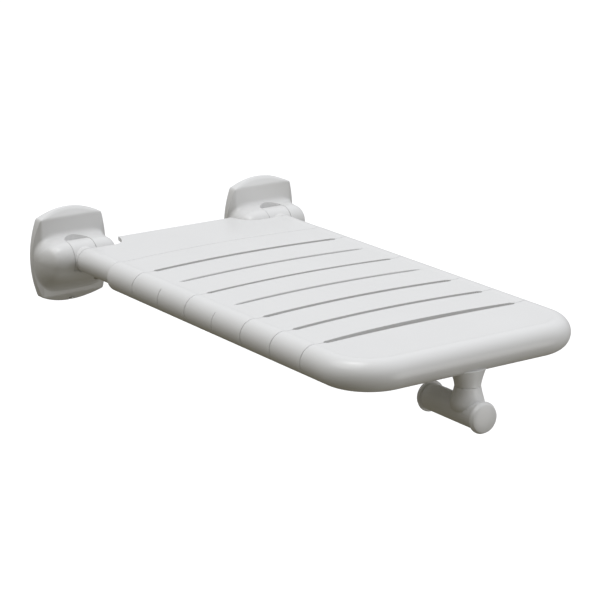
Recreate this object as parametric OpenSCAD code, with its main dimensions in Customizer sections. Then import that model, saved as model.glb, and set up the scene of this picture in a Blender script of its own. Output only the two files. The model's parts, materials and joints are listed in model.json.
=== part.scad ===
// Wall-mounted fold-up shower seat: two wall brackets with hinges, a U-shaped
// steel core, slatted nylon seat modules and a T-shaped pull grip at the front.
// The seat projects along -Y from a wall in the plane y = 0, and z = 0 is the
// height of the bracket centres. One hinge axis runs along X through both brackets.

/* [Seat] */
// Distance between the centre lines of the two side sleeves
sleeve_span = 266.4; // [220:1:330]
// Distance from the wall to the front of the seat
seat_reach = 584.6; // [560:1:710]
// Outside radius of the side sleeves and of the front nose
sleeve_r = 16.6; // [15.8:0.1:20]
// Height of the sleeve crowns above the flat slats
crown_h = 0.5; // [0.3:0.1:1]
// Thickness of the slats
slat_t = 4.8; // [3.5:0.1:6]
// Depth of the stiffening ribs below the slats
rib_d = 11; // [8:0.5:13]
// Thickness of the stiffening ribs
rib_t = 3; // [2:0.5:4]
// Radius of the front corners in plan, at the core's centre line
corner_r = 40; // [30:1:60]

/* [Slots] */
// Distance from the wall to the ends of the rear joint line
first_joint = 121.9; // [112:0.1:130]
// Distance from one slot to the next
slot_pitch = 53; // [44:0.1:53]
// Length of a drain slot
slot_len = 244; // [180:1:250]
// How far the middle of a slot lies nearer to the wall than its ends
slot_sag = 8.6; // [0:0.1:12]
// How far the middle of the last slot's front edge lies nearer to the wall
last_sag = 4.7; // [0:0.1:8.6]
// Width of slots between separate modules
wide_slot = 5.6; // [4:0.1:8]
// Width of slots inside a double module
narrow_slot = 4.4; // [3:0.1:8]
// Gap where two modules meet on the side sleeves
seam_gap = 0.3; // [0.2:0.1:0.6]

/* [Rear module] */
// Distance from the wall to the rear edge of the seat
rear_edge = 24; // [20:1:28]
// Half the width of the rear edge, between the hinge housings
rear_half = 78; // [60:1:80]
// Distance from the wall to the seat's edge in front of a hinge housing
housing_gap_y = 53; // [53:0.5:60]
// Outside radius of the arm sleeves next to the hinges
arm_r = 14.3; // [14.2:0.1:15]

/* [Steel core] */
// Outside radius of the core tube
tube_r = 12.5; // [10.4:0.1:12.5]
// Wall of the core tube
tube_wall = 2.5; // [1.5:0.1:3]

/* [Hinge] */
// Distance from the wall to the hinge axis
hinge_y = 30; // [29:0.5:34]
// Radius of the hinge drum
drum_r = 19.4; // [18:0.1:20]
// Width of the hinge drum
drum_w = 29.2; // [29:0.1:32]
// Radius of the hinge pin
pin_r = 5; // [4:0.5:6]
// Wall of the bushes that line the drum
bush_wall = 2; // [1.5:0.5:3]
// Length of each bush
bush_len = 12.6; // [8:0.1:14]
// Thickness of the friction washers
washer_t = 1.2; // [0.8:0.1:2]
// Thickness of the spring washer under the pin's head
spring_t = 1; // [0.8:0.1:1.5]
// Length of the knuckle's tenon inside the core tube
tenon_len = 40; // [30:1:60]
// How far the drum's stop heel reaches from the hinge axis
heel_reach = 22.6; // [22:0.1:22.8]
// Half the width of the stop heel
heel_half = 8; // [6:1:10]
// Half the height of the stop heel
heel_h = 4; // [3:0.5:5]

/* [Wall bracket] */
// How far the bracket's centre lies inside the sleeve's centre line
bracket_inset = 2.2; // [0:0.1:4]
// Half the width of the housing's back plate at its corners
plate_half_w = 39.5; // [38:0.5:42]
// Half the height of the housing's back plate at its corners
plate_half_h = 45.2; // [44:0.2:50]
// How far the back plate's sides bulge
side_bulge = 8.5; // [4:0.5:10]
// How far the back plate's top and bottom bulge
top_bulge = 9.7; // [4:0.1:12]
// Depth of the housing's back plate
plate_depth = 12; // [11:0.1:12.5]
// Wall of the housing
cover_t = 2.6; // [2:0.1:3]
// Height of the hub's top above the bracket centre
hub_top = 27.5; // [26:0.5:28]
// Depth of the hub's underside below the bracket centre
hub_low = 37; // [34:0.5:40]
// Thickness of the steel mounting plate
steel_t = 4; // [3:0.5:5]
// Thickness of the hinge ears
ear_t = 4; // [3:0.5:5]
// Radius of the hinge ears round the pin
ear_r = 12; // [10:0.5:13]
// Distance between the wall screw holes, across
hole_dx = 54; // [50:1:56]
// Distance between the wall screw holes, up
hole_dz = 66; // [60:1:68]
// Radius of the wall screw holes
hole_r = 3.3; // [2.5:0.1:4]

/* [Grip] */
// Radius of the grip's waist
waist_r = 13.5; // [11:0.1:15]
// Radius of the grip's top, against the seat
grip_top_r = 20; // [18:0.1:22]
// Radius of the grip's lower cone
grip_low_r = 17.4; // [15:0.1:18]
// Depth of the waist below the sleeve's centre line
waist_z = 30; // [27:0.5:34]
// Depth of the crossbar's axis below the sleeve's centre line
bar_z = 57.5; // [55:0.5:64]
// Radius of the crossbar
bar_r = 14; // [12:0.1:14.5]
// Reach of the crossbar from the stem towards the wall
bar_back = 57; // [48:1:70]
// Reach of the crossbar from the stem away from the wall
bar_front = 22.5; // [18:0.5:30]
// Radius of the crossbar's end caps
cap_r = 16.4; // [15.5:0.1:18]
// Length of the crossbar's end caps
cap_len = 7.5; // [5:0.5:8]

/* [Fits] */
// Play between parts that turn against the housing
turn_gap = 0.6; // [0.4:0.1:1]
// Play between the pin and its bushes
pin_play = 0.05; // [0.02:0.01:0.1]
// Play where sleeves and tenons slide on the core tube
slip = 0.1; // [0.05:0.05:0.2]
// Gap at the end stops
stop_gap = 0.3; // [0.2:0.1:0.5]

/* [Hidden] */
$fn = 64;
e = 0.5;
arm_x = sleeve_span / 2;
arm_z = sleeve_r - arm_r;
hinge_z = arm_z;
slat_top = sleeve_r - crown_h;
slat_low = slat_top - slat_t;
half_w = arm_x + sleeve_r;
nose_y = seat_reach - sleeve_r;
bracket_x = arm_x - bracket_inset;
tube_in = tube_r - tube_wall;
drum_half = drum_w / 2;
neck_end = hinge_y + drum_r + 3;
bush_r = pin_r + pin_play + bush_wall;
ear_in = drum_half + stop_gap + washer_t;
ear_out = ear_in + ear_t;
slot_half = slot_len / 2;
cavity_half = arm_x - sleeve_r - 1;
// slots 2 and 4 lie inside the double modules
modules = [[0, 1], [1, 2, 3], [3, 4, 5], [5, 6], [6, 7]];
screw_r = 2;
screw_head_r = 4;
screw_head_t = 2.4;
pan_head_t = 1.9;
tab_half = 9;
tab_t = 3;
rim_share = 0.45;
lining_t = 1;
screw_y = (steel_t + plate_depth - cover_t) / 2;
screw_seat_z = plate_half_h + top_bulge - 4;
stud_r = 4;
nut_r = tube_in - slip;
bevel = 9;
spigot_r = bar_r * 0.6;
spigot_len = 9;
slot_arc_n = 20;
outline_n = 10;

// ---- helpers ----
function slot_y(k) = first_joint + k * slot_pitch;
function slot_w(k) = k == 0 ? seam_gap : (k == 2 || k == 3 || k == 4) ? narrow_slot : wide_slot;
// a shallow arc across the seat as a list of [x, y]: sag at x = 0, none at the slot's ends
function sag_arc(y, sag, half) = [for (i = [0 : slot_arc_n])
    let (x = -half + 2 * half * i / slot_arc_n) [x, -y + sag * (1 - pow(x / slot_half, 2))]];
function backwards(list) = [for (i = [len(list) - 1 : -1 : 0]) list[i]];
// one edge of a module: straight over the sleeves, arched along the slot
function module_edge(k, side, sag, half) = concat(
    [[-half_w - e, -slot_y(k) + side * seam_gap / 2]],
    [[-half, -slot_y(k) + side * seam_gap / 2]],
    [for (p = sag_arc(slot_y(k), sag, half)) [p[0], p[1] + side * slot_w(k) / 2]],
    [[half, -slot_y(k) + side * seam_gap / 2]],
    [[half_w + e, -slot_y(k) + side * seam_gap / 2]]);

// puts a side's parts at the sleeve on the right, and mirrors them for the left
module on_side(side) {
    mirror([side < 0 ? 1 : 0, 0, 0])
        translate([arm_x, 0, 0])
            children();
}

// a cylinder along X, centred on x = 0 unless it is given as from and to
module rod_x(r, from, to, y, z) {
    translate([from, y, z])
        rotate([0, 90, 0])
            cylinder(r = r, h = to - from);
}

// a cylinder along -Y
module rod_y(r, from, to, x, z) {
    translate([x, -from, z])
        rotate([90, 0, 0])
            cylinder(r = r, h = to - from);
}

// extrudes a y-z outline along X
module across(from, to) {
    translate([from, 0, 0])
        rotate([90, 0, 90])
            linear_extrude(height = to - from)
                children();
}

// extrudes an x-z outline along -Y
module out_from_wall(from, to) {
    translate([0, -from, 0])
        rotate([90, 0, 0])
            linear_extrude(height = to - from)
                children();
}

module block(low, high) {
    translate(low)
        cube(high - low);
}

// ---- wall bracket ----
// outline of the back plate: four shallow arcs between the corners
function bulged(a, b, bulge) = [for (i = [0 : outline_n - 1])
    let (t = i / outline_n, d = b - a, n = [d[1], -d[0]] / norm(d))
    a + d * t - n * bulge * 4 * t * (1 - t)];
function plate_outline(inset) =
    let (w = plate_half_w - inset, h = plate_half_h - inset)
    concat(bulged([w, -h], [w, h], -side_bulge), bulged([w, h], [-w, h], -top_bulge),
        bulged([-w, h], [-w, -h], -side_bulge), bulged([-w, -h], [w, -h], -top_bulge));

// the plate's depth with a bevelled border, as outlines seen from the side
module bevel_outline(half, depth, bevel) {
    polygon([[0, -half], [0, half], [-depth * rim_share, half], [-depth, half - bevel],
        [-depth, bevel - half], [-depth * rim_share, -half]]);
}

module plate_solid(inset, depth) {
    wide = plate_half_w + side_bulge - inset;
    tall = plate_half_h + top_bulge - inset;
    intersection() {
        out_from_wall(0, depth) polygon(plate_outline(inset));
        across(-wide, wide) bevel_outline(tall, depth, bevel);
        translate([0, 0, -tall])
            linear_extrude(height = 2 * tall)
                mirror([1, -1, 0])
                    bevel_outline(wide, depth, bevel);
    }
}

// side view of the hub: round about the hinge, with flanks to the back plate
module hub_profile(inset) {
    r = drum_r + 0.2 - inset;
    polygon(concat([[-plate_depth / 2, -hub_low + inset], [-plate_depth / 2, hub_top - inset],
        [-plate_depth - e - inset, hub_top - inset],
        [-hinge_y + drum_r * 0.62, hub_top - 4.4 - inset]],
        [for (a = [84 : 12 : 216]) [-hinge_y + r * cos(a), hinge_z + r * sin(a)]],
        [[-hinge_y - r * 0.42, hinge_z - r - 4.5],
        [-hinge_y + 6, -hub_low * 0.82 + inset]]));
}

// share of its height and reach that the hub keeps towards its ends
function hub_fall(x, half) = pow(1 - pow(abs(x) / half, 5), 0.45);
module hub_solid(inset) {
    wide = plate_half_w + side_bulge - 1 - inset;
    xs = [for (i = [-16 : 16]) wide * sin(90 * i / 16) * 0.995];
    reach = hinge_y + drum_r - plate_depth + 0.2 - inset;
    intersection() {
        across(-wide, wide) hub_profile(inset);
        out_from_wall(0, hinge_y * 2) polygon(concat(
            [for (x = xs) [x, (hub_top - inset) * hub_fall(x, wide)]],
            [for (x = backwards(xs)) [x, -(hub_low - inset) * hub_fall(x, wide)]]));
        translate([0, 0, -hub_low])
            linear_extrude(height = hub_low * 2)
                polygon(concat([[wide, 0], [-wide, 0]],
                    [for (x = xs) [x, -plate_depth - reach * (0.35 + 0.65 * hub_fall(x, wide))]]));
    }
}

// the opening that the arm sweeps through from level to upright
module arm_sweep(gap) {
    r = arm_r + gap;
    rod_y(r, hinge_y, hinge_y * 2, 0, arm_z);
    translate([0, -hinge_y, hinge_z])
        cylinder(r = r, h = hub_top * 1.5);
    block([-r, -hinge_y * 2, arm_z], [r, -hinge_y, hub_top * 1.5]);
    rod_x(drum_r + gap, -drum_half - gap, drum_half + gap, -hinge_y, hinge_z);
}

// wall behind the arm where it stands when the seat is folded up
module arm_lining() {
    r = arm_r + turn_gap;
    intersection() {
        difference() {
            translate([0, -hinge_y, hinge_z + ear_r + e])
                cylinder(r = r + lining_t, h = hub_top);
            translate([0, -hinge_y, 0])
                cylinder(r = r - e, h = hub_top * 2);
        }
        block([-drum_r, -hinge_y, 0], [drum_r, -plate_depth, hub_top * 2]);
    }
}

module housing() {
    color("whitesmoke")
        difference() {
            translate([-bracket_inset, 0, 0]) {
                plate_solid(0, plate_depth);
                hub_solid(0);
            }
            translate([-bracket_inset, e, 0])
                plate_solid(cover_t, plate_depth - cover_t + e);
            difference() {
                translate([-bracket_inset, 0, 0])
                    hub_solid(cover_t);
                arm_lining();
            }
            arm_sweep(turn_gap);
            // seat and hole for the screw that comes up from below
            translate([-bracket_inset, -screw_y, -plate_half_h - top_bulge - e]) {
                cylinder(r = screw_head_r - 0.4, h = plate_half_h + top_bulge + e - screw_seat_z);
                cylinder(r = screw_r + slip, h = 14);
            }
        }
}

module wall_plate() {
    w = plate_half_w - cover_t - turn_gap;
    h = plate_half_h - cover_t - turn_gap;
    color("silver")
        difference() {
            union() {
                translate([-bracket_inset, 0, 0])
                    block([-w, -steel_t, -h], [w, 0, h]);
                for (s = [-1, 1])
                    translate([s * (ear_in + ear_t / 2) - ear_t / 2, 0, 0]) {
                        across(0, ear_t)
                            polygon([[-steel_t + e, hinge_z - ear_r - 4], [-steel_t + e, hinge_z + ear_r + 4],
                                [-hinge_y, hinge_z + ear_r - 1], [-hinge_y, hinge_z - ear_r + 1]]);
                        rod_x(ear_r, 0, ear_t, -hinge_y, hinge_z);
                    }
                // folded tab that takes the housing screw
                translate([-bracket_inset, 0, 0])
                    block([-tab_half, cover_t + 0.4 - plate_depth, -h], [tab_half, -steel_t + e, -h + tab_t]);
            }
            rod_x(pin_r, -ear_out - e, ear_out + e, -hinge_y, hinge_z);
            for (sx = [-1, 1], sz = [-1, 1])
                rod_y(hole_r, -e, steel_t + e, sx * hole_dx / 2 - bracket_inset, sz * hole_dz / 2);
            translate([-bracket_inset, -screw_y, -h - e])
                cylinder(r = screw_r, h = tab_t + 2 * e);
        }
}

module housing_screw() {
    tip = -plate_half_h + cover_t + turn_gap + 6;
    color("silver")
        translate([-bracket_inset, -screw_y, -screw_seat_z]) {
            cylinder(r = screw_r, h = tip + screw_seat_z);
            translate([0, 0, -pan_head_t])
                cylinder(r = screw_head_r - 0.5, h = pan_head_t);
        }
}

// ---- hinge ----
module hinge_pin() {
    color("silver") {
        rod_x(pin_r, -ear_out - 3.5, ear_out + spring_t, -hinge_y, hinge_z);
        rod_x(pin_r + 3, ear_out + spring_t, ear_out + spring_t + 3, -hinge_y, hinge_z);
    }
}

module ring_x(r, hole, from, to) {
    difference() {
        rod_x(r, from, to, -hinge_y, hinge_z);
        rod_x(hole, from - e, to + e, -hinge_y, hinge_z);
    }
}

module knuckle() {
    color("whitesmoke")
        difference() {
            union() {
                rod_x(drum_r, -drum_half, drum_half, -hinge_y, hinge_z);
                rod_y(arm_r, hinge_y, neck_end, 0, arm_z);
                rod_y(tube_in - slip, neck_end - e, neck_end + tenon_len, 0, arm_z);
                block([-heel_half, -hinge_y + drum_r - 5, hinge_z - heel_h],
                    [heel_half, -hinge_y + heel_reach, hinge_z + heel_h]);
            }
            rod_x(bush_r, -drum_half - e, drum_half + e, -hinge_y, hinge_z);
            translate([0, -neck_end - tenon_len / 2, arm_z - arm_r])
                cylinder(r = screw_r, h = arm_r);
        }
}

module stop_pad() {
    color("dimgray")
        block([-heel_half - 2, -hinge_y + drum_r + 0.1, hinge_z + heel_h + stop_gap],
            [heel_half + 2, -steel_t, hinge_z + heel_h * 3]);
}

module arm_screw() {
    color("silver")
        translate([0, -neck_end - tenon_len / 2, arm_z - arm_r]) {
            cylinder(r = screw_r, h = arm_r);
            translate([0, 0, -pan_head_t])
                cylinder(r = screw_head_r, h = pan_head_t);
        }
}

// ---- steel core ----
module core_path(r) {
    turn = nose_y - corner_r;
    for (s = [-1, 1]) {
        rod_y(r, neck_end, turn, s * arm_x, 0);
        translate([s * (arm_x - corner_r), -turn, 0])
            rotate([0, 0, s > 0 ? -90 : 180])
                rotate_extrude(angle = 90)
                    translate([corner_r, 0])
                        circle(r = r);
    }
    rod_x(r, corner_r - arm_x, arm_x - corner_r, -nose_y, 0);
}

module core_tube() {
    color("silver")
        difference() {
            translate([0, 0, arm_z]) core_path(tube_r);
            translate([0, 0, arm_z]) core_path(tube_in);
            for (s = [-1, 1]) {
                rod_y(tube_in, neck_end - e, neck_end + e, s * arm_x, arm_z);
                for (m = modules)
                    screw_place(s, m) cylinder(r = screw_r, h = sleeve_r);
                front_screw_place(s) cylinder(r = screw_r, h = sleeve_r);
                translate([s * arm_x, -neck_end - tenon_len / 2, arm_z - arm_r])
                    cylinder(r = screw_r, h = arm_r);
            }
            translate([0, -nose_y, -sleeve_r]) cylinder(r = stud_r + slip, h = sleeve_r);
        }
}

// ---- seat modules ----
module screw_place(side, m) {
    y = (slot_y(m[0]) + slot_y(m[len(m) - 1])) / 2;
    translate([side * arm_x, -y, -sleeve_r])
        children();
}

module front_screw_place(side) {
    translate([side * arm_x, -(slot_y(7) + nose_y - corner_r) / 2, -sleeve_r])
        children();
}

module screw_pocket() {
    translate([0, 0, -e])
        cylinder(r = screw_head_r + slip, h = screw_head_t + 1 + e);
    cylinder(r = screw_r + slip, h = sleeve_r - 1);
}

// plan outline of a module between joints k and n
module module_plan(k, n) {
    polygon(concat(module_edge(k, -1, slot_sag, slot_half),
        backwards(module_edge(n, 1, slot_sag, slot_half))));
}

// plan outline of one slot inside a double module
module slot_plan(k) {
    arc = sag_arc(slot_y(k), slot_sag, slot_half);
    polygon(concat([for (p = arc) [p[0], p[1] + slot_w(k) / 2]],
        [for (p = backwards(arc)) [p[0], p[1] - slot_w(k) / 2]]));
}

// plan outline of the hollow under one slat, between its two edge ribs
module hollow_plan(k, n) {
    rear = sag_arc(slot_y(k) + slot_w(k) / 2 + rib_t, slot_sag, cavity_half);
    front = sag_arc(slot_y(n) - slot_w(n) / 2 - rib_t, slot_sag, cavity_half);
    polygon(concat(rear, backwards(front)));
}

module slat_module(m) {
    k = m[0];
    n = m[len(m) - 1];
    color("whitesmoke")
        difference() {
            intersection() {
                union() {
                    for (s = [-1, 1])
                        rod_y(sleeve_r, slot_y(k) - e, slot_y(n) + e, s * arm_x, 0);
                    block([-arm_x, -slot_y(n) - e, slat_top - rib_d], [arm_x, -slot_y(k) + slot_sag * 2, slat_top]);
                }
                translate([0, 0, -sleeve_r - e])
                    linear_extrude(height = 2 * sleeve_r + 2 * e)
                        module_plan(k, n);
            }
            for (s = [-1, 1]) {
                rod_y(tube_r + slip, slot_y(k) - slot_sag * 2, slot_y(n) + e, s * arm_x, arm_z);
                screw_place(s, m) screw_pocket();
            }
            translate([0, 0, -sleeve_r])
                linear_extrude(height = sleeve_r + slat_low)
                    for (i = [0 : len(m) - 2])
                        hollow_plan(m[i], m[i + 1]);
            if (len(m) > 2)
                translate([0, 0, -sleeve_r])
                    linear_extrude(height = 3 * sleeve_r)
                        slot_plan(m[1]);
        }
}

// plan outline of the rear module, cut away round the hinge housings
module rear_plan() {
    inner = arm_x - arm_r - e;
    notch = [[rear_half, -rear_edge], [rear_half, -rear_edge - 5], [rear_half + 4, -rear_edge - 16],
        [rear_half + 9, 5 - housing_gap_y], [rear_half + 16, 1 - housing_gap_y],
        [rear_half + 24, -housing_gap_y], [inner, -housing_gap_y],
        [inner, -neck_end - seam_gap], [half_w + e, -neck_end - seam_gap]];
    polygon(concat(notch, backwards(module_edge(0, 1, slot_sag, slot_half)),
        [for (p = backwards(notch)) [-p[0], p[1]]]));
}

module rear_module() {
    color("whitesmoke")
        difference() {
            intersection() {
                union() {
                    for (s = [-1, 1])
                        rod_y(arm_r, neck_end - e, slot_y(0) + e, s * arm_x, arm_z);
                    block([-arm_x, -slot_y(0) - e, slat_low], [arm_x, -rear_edge + e, slat_top]);
                    // rib behind the joint line
                    block([-arm_x, -slot_y(0) - e, slat_top - rib_d], [arm_x, -slot_y(0) + rib_t * 4, slat_top]);
                }
                translate([0, 0, -sleeve_r - e])
                    linear_extrude(height = 2 * sleeve_r + 2 * e)
                        rear_plan();
            }
            translate([0, 0, -sleeve_r])
                linear_extrude(height = sleeve_r + slat_low)
                    polygon(concat([[-cavity_half, -rear_edge + e]],
                        [for (p = sag_arc(slot_y(0) - rib_t, slot_sag, cavity_half)) p],
                        [[cavity_half, -rear_edge + e]]));
            for (s = [-1, 1]) {
                rod_y(tube_r + slip, neck_end - 2 * e, slot_y(0) + e, s * arm_x, arm_z);
                translate([s * arm_x, -neck_end - tenon_len / 2, -sleeve_r])
                    cylinder(r = screw_r + slip, h = sleeve_r);
            }
        }
}

// plan of the flat between the core's centre lines, with its two round corners
module nose_plan() {
    corner = [for (a = [0 : 10 : 90]) [corner_r * sin(a), -corner_r * cos(a)]];
    turn = [arm_x - corner_r, corner_r - nose_y];
    polygon(concat([[-arm_x, -slot_y(6)]],
        [for (p = backwards(corner)) [-turn[0] - p[0], turn[1] + p[1]]],
        [for (p = corner) [turn[0] + p[0], turn[1] + p[1]]],
        [[arm_x, -slot_y(6)]]));
}

module front_module() {
    color("whitesmoke")
        difference() {
            intersection() {
                union() {
                    core_path(sleeve_r);
                    translate([0, 0, slat_top - rib_d])
                        linear_extrude(height = rib_d)
                            nose_plan();
                }
                translate([0, 0, -sleeve_r - e])
                    linear_extrude(height = 2 * sleeve_r + 2 * e)
                        polygon(concat([[half_w + e, -seat_reach - e], [-half_w - e, -seat_reach - e]],
                            module_edge(7, -1, last_sag, slot_half)));
            }
            // hollow under the flat between the core's sleeves
            translate([0, 0, -sleeve_r])
                linear_extrude(height = sleeve_r + slat_low)
                    polygon(concat(
                        sag_arc(slot_y(7) + wide_slot / 2 + rib_t, last_sag, cavity_half),
                        [[cavity_half, -nose_y + corner_r], [cavity_half - corner_r / 2, -nose_y + sleeve_r + 1],
                        [corner_r / 2 - cavity_half, -nose_y + sleeve_r + 1], [-cavity_half, -nose_y + corner_r]]));
            translate([0, 0, arm_z]) core_path(tube_r + slip);
            for (s = [-1, 1])
                front_screw_place(s) screw_pocket();
            translate([0, -nose_y, -sleeve_r - e]) cylinder(r = stud_r + slip, h = sleeve_r);
        }
}

module module_screw() {
    translate([0, 0, 0.6])
        cylinder(r = screw_head_r, h = screw_head_t);
    translate([0, 0, 0.6])
        cylinder(r = screw_r, h = sleeve_r - 4);
}

// ---- grip ----
module grip_axis() {
    translate([0, -nose_y, 0])
        children();
}

module grip_collar() {
    color("whitesmoke")
        difference() {
            grip_axis()
                rotate_extrude()
                    polygon([[stud_r + slip, -waist_z], [waist_r, -waist_z], [waist_r + 1.4, -waist_z + 4],
                        [grip_top_r, -sleeve_r], [grip_top_r + 0.6, -sleeve_r + 5], [stud_r + slip, -sleeve_r + 5]]);
            rod_x(sleeve_r, -grip_top_r * 2, grip_top_r * 2, -nose_y, 0);
        }
}

module grip_bar() {
    color("whitesmoke")
        difference() {
            grip_axis() {
                rotate_extrude()
                    polygon([[0, -waist_z], [waist_r, -waist_z], [waist_r + 0.8, -waist_z - 4],
                        [grip_low_r, -bar_z + bar_r * 0.8], [grip_low_r - 1, -bar_z + bar_r * 0.5],
                        [0, -bar_z + bar_r * 0.4]]);
                rod_y(bar_r, -bar_back, bar_front, 0, -bar_z);
            }
            grip_axis() {
                translate([0, 0, -bar_z - bar_r / 2])
                    cylinder(r = stud_r, h = bar_z);
                rod_y(spigot_r, -bar_back - e, -bar_back + spigot_len + 1, 0, -bar_z);
                rod_y(spigot_r, bar_front - spigot_len - 1, bar_front + e, 0, -bar_z);
            }
        }
}

// a domed cap whose spigot fits the crossbar's end
module grip_cap() {
    rotate([90, 0, 0]) {
        translate([0, 0, -spigot_len])
            cylinder(r = spigot_r, h = spigot_len);
        rotate_extrude()
            polygon(concat([[0, 0], [cap_r - 1, 0], [cap_r, 1.2], [cap_r, cap_len * 0.5]],
                [for (a = [60 : -10 : 0]) [cap_r * 0.98 * sin(a) / sin(62), cap_len * (0.6 + 0.4 * cos(a * 1.5))]]));
    }
}

module grip_stud() {
    color("silver")
        grip_axis()
            translate([0, 0, -bar_z - bar_r / 2])
                cylinder(r = stud_r, h = bar_z + bar_r / 2 - arm_z - 1 + nut_r);
}

module grip_barrel_nut() {
    color("silver")
        difference() {
            rod_x(nut_r, -14, 14, -nose_y, arm_z);
            grip_axis()
                translate([0, 0, -sleeve_r])
                    cylinder(r = stud_r, h = 2 * sleeve_r + 2 * arm_z);
        }
}

// ---- groups and finished parts ----
module both_sides() {
    for (s = [-1, 1])
        on_side(s)
            children();
}

module hinge_bushes() {
    color("ivory")
        both_sides() {
            ring_x(bush_r, pin_r + pin_play, drum_half - bush_len, drum_half);
            ring_x(bush_r, pin_r + pin_play, -drum_half, bush_len - drum_half);
        }
}

module friction_washers() {
    color("darkgray")
        both_sides() {
            ring_x(ear_r - 1, pin_r + slip, drum_half + stop_gap, ear_in);
            ring_x(ear_r - 1, pin_r + slip, -ear_in, -drum_half - stop_gap);
        }
}

module spring_washers() {
    color("silver")
        both_sides()
            ring_x(pin_r + 2.5, pin_r + slip, ear_out, ear_out + spring_t);
}

module pin_clips() {
    color("dimgray")
        both_sides()
            ring_x(pin_r + 2, pin_r, -ear_out - 1.2, -ear_out);
}

module module_screws() {
    color("silver")
        for (s = [-1, 1]) {
            for (m = modules)
                screw_place(s, m) module_screw();
            front_screw_place(s) module_screw();
        }
}

module grip_cap_front() {
    color("whitesmoke")
        grip_axis()
            translate([0, -bar_front, -bar_z])
                grip_cap();
}

module grip_cap_rear() {
    color("whitesmoke")
        grip_axis()
            translate([0, bar_back, -bar_z])
                mirror([0, 1, 0])
                    grip_cap();
}

on_side(-1) wall_plate();  // wall_plate_left
on_side(1) wall_plate();  // wall_plate_right
on_side(-1) housing();  // housing_left
on_side(1) housing();  // housing_right
on_side(-1) hinge_pin();  // hinge_pin_left
on_side(1) hinge_pin();  // hinge_pin_right
pin_clips();
spring_washers();
friction_washers();
both_sides() stop_pad();  // stop_pads
both_sides() housing_screw();  // housing_screws
hinge_bushes();
on_side(-1) knuckle();  // knuckle_left
on_side(1) knuckle();  // knuckle_right
both_sides() arm_screw();  // arm_screws
core_tube();
rear_module();
slat_module(modules[0]);  // slat_module_1
slat_module(modules[1]);  // double_module_2
slat_module(modules[2]);  // double_module_3
slat_module(modules[3]);  // slat_module_4
slat_module(modules[4]);  // slat_module_5
front_module();
module_screws();
grip_collar();
grip_bar();
grip_cap_front();
grip_cap_rear();
grip_stud();
grip_barrel_nut();
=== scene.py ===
# Fold-up shower seat: smooth moulded skins, materials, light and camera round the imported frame.
import json
import math

import bmesh
import bpy
import numpy as np
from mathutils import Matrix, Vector


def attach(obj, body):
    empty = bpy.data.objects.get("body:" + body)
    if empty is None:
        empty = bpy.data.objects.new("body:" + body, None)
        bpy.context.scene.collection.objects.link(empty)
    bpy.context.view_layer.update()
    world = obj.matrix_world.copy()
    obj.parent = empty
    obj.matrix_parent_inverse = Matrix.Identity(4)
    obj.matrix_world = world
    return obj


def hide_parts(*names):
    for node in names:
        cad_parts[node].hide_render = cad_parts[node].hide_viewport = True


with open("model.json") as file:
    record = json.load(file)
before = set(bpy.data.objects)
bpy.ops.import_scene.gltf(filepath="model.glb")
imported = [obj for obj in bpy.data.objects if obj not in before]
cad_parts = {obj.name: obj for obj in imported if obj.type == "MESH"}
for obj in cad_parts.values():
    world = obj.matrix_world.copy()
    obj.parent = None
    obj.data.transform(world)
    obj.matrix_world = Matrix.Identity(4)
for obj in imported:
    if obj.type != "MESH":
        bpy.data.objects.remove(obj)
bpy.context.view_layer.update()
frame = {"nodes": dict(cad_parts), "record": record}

mm = 0.001
nodes = frame["nodes"]


camera = {
    "place": (-1.3830, -2.2662, 0.6940),
    "forward": (0.54827, 0.78806, -0.27992),
    "lens": 139.82,
    "sensor": 36.0,
}


def makeCamera():
    # a camera at a fixed place that looks along one direction, kept level
    data = bpy.data.cameras.new("seatCamera")
    data.lens = camera["lens"]
    data.sensor_width = camera["sensor"]
    data.clip_start = 0.05
    data.clip_end = 60
    cam = bpy.data.objects.new("seatCamera", data)
    bpy.context.collection.objects.link(cam)
    cam.location = camera["place"]
    cam.rotation_mode = "QUATERNION"
    cam.rotation_quaternion = Vector(camera["forward"]).to_track_quat("-Z", "Y")
    bpy.context.scene.camera = cam


makeCamera()
print("camera placed")


def addMesh(name, verts, faces, sharpAngle=40):
    # turns vertex rows in millimetres and a list of faces into a smooth shaded object
    mesh = bpy.data.meshes.new(name)
    mesh.from_pydata((np.asarray(verts) * mm).tolist(), [], [list(f) for f in faces])
    obj = bpy.data.objects.new(name, mesh)
    bpy.context.collection.objects.link(obj)
    cleanMesh(obj, sharpAngle)
    return obj


def cleanMesh(obj, sharpAngle=40):
    # merges doubles, drops empty faces, points faces outwards and marks sharp edges by angle
    bm = bmesh.new()
    bm.from_mesh(obj.data)
    bmesh.ops.remove_doubles(bm, verts=bm.verts, dist=0.004 * mm)
    bmesh.ops.dissolve_degenerate(bm, edges=bm.edges, dist=0.002 * mm)
    bmesh.ops.recalc_face_normals(bm, faces=bm.faces)
    limit = math.radians(sharpAngle)
    for face in bm.faces:
        face.smooth = True
    for edge in bm.edges:
        edge.smooth = len(edge.link_faces) != 2 or edge.calc_face_angle(0) < limit
    bm.to_mesh(obj.data)
    bm.free()


def gridFaces(rows, cols, closeRows=False, closeCols=False, offset=0):
    # quads of a rows x cols grid of vertices, optionally joined end to end either way
    i = np.arange(rows if closeRows else rows - 1)[:, None]
    j = np.arange(cols if closeCols else cols - 1)[None, :]
    i2, j2 = (i + 1) % rows, (j + 1) % cols
    quads = np.stack([i * cols + j, i * cols + j2, i2 * cols + j2, i2 * cols + j], axis=-1)
    return (quads.reshape(-1, 4) + offset).tolist()


def applyModifiers(obj):
    # bakes the modifiers that stand on an object into its mesh
    depsgraph = bpy.context.evaluated_depsgraph_get()
    baked = bpy.data.meshes.new_from_object(obj.evaluated_get(depsgraph))
    obj.modifiers.clear()
    old, obj.data = obj.data, baked
    bpy.data.meshes.remove(old)


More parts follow.
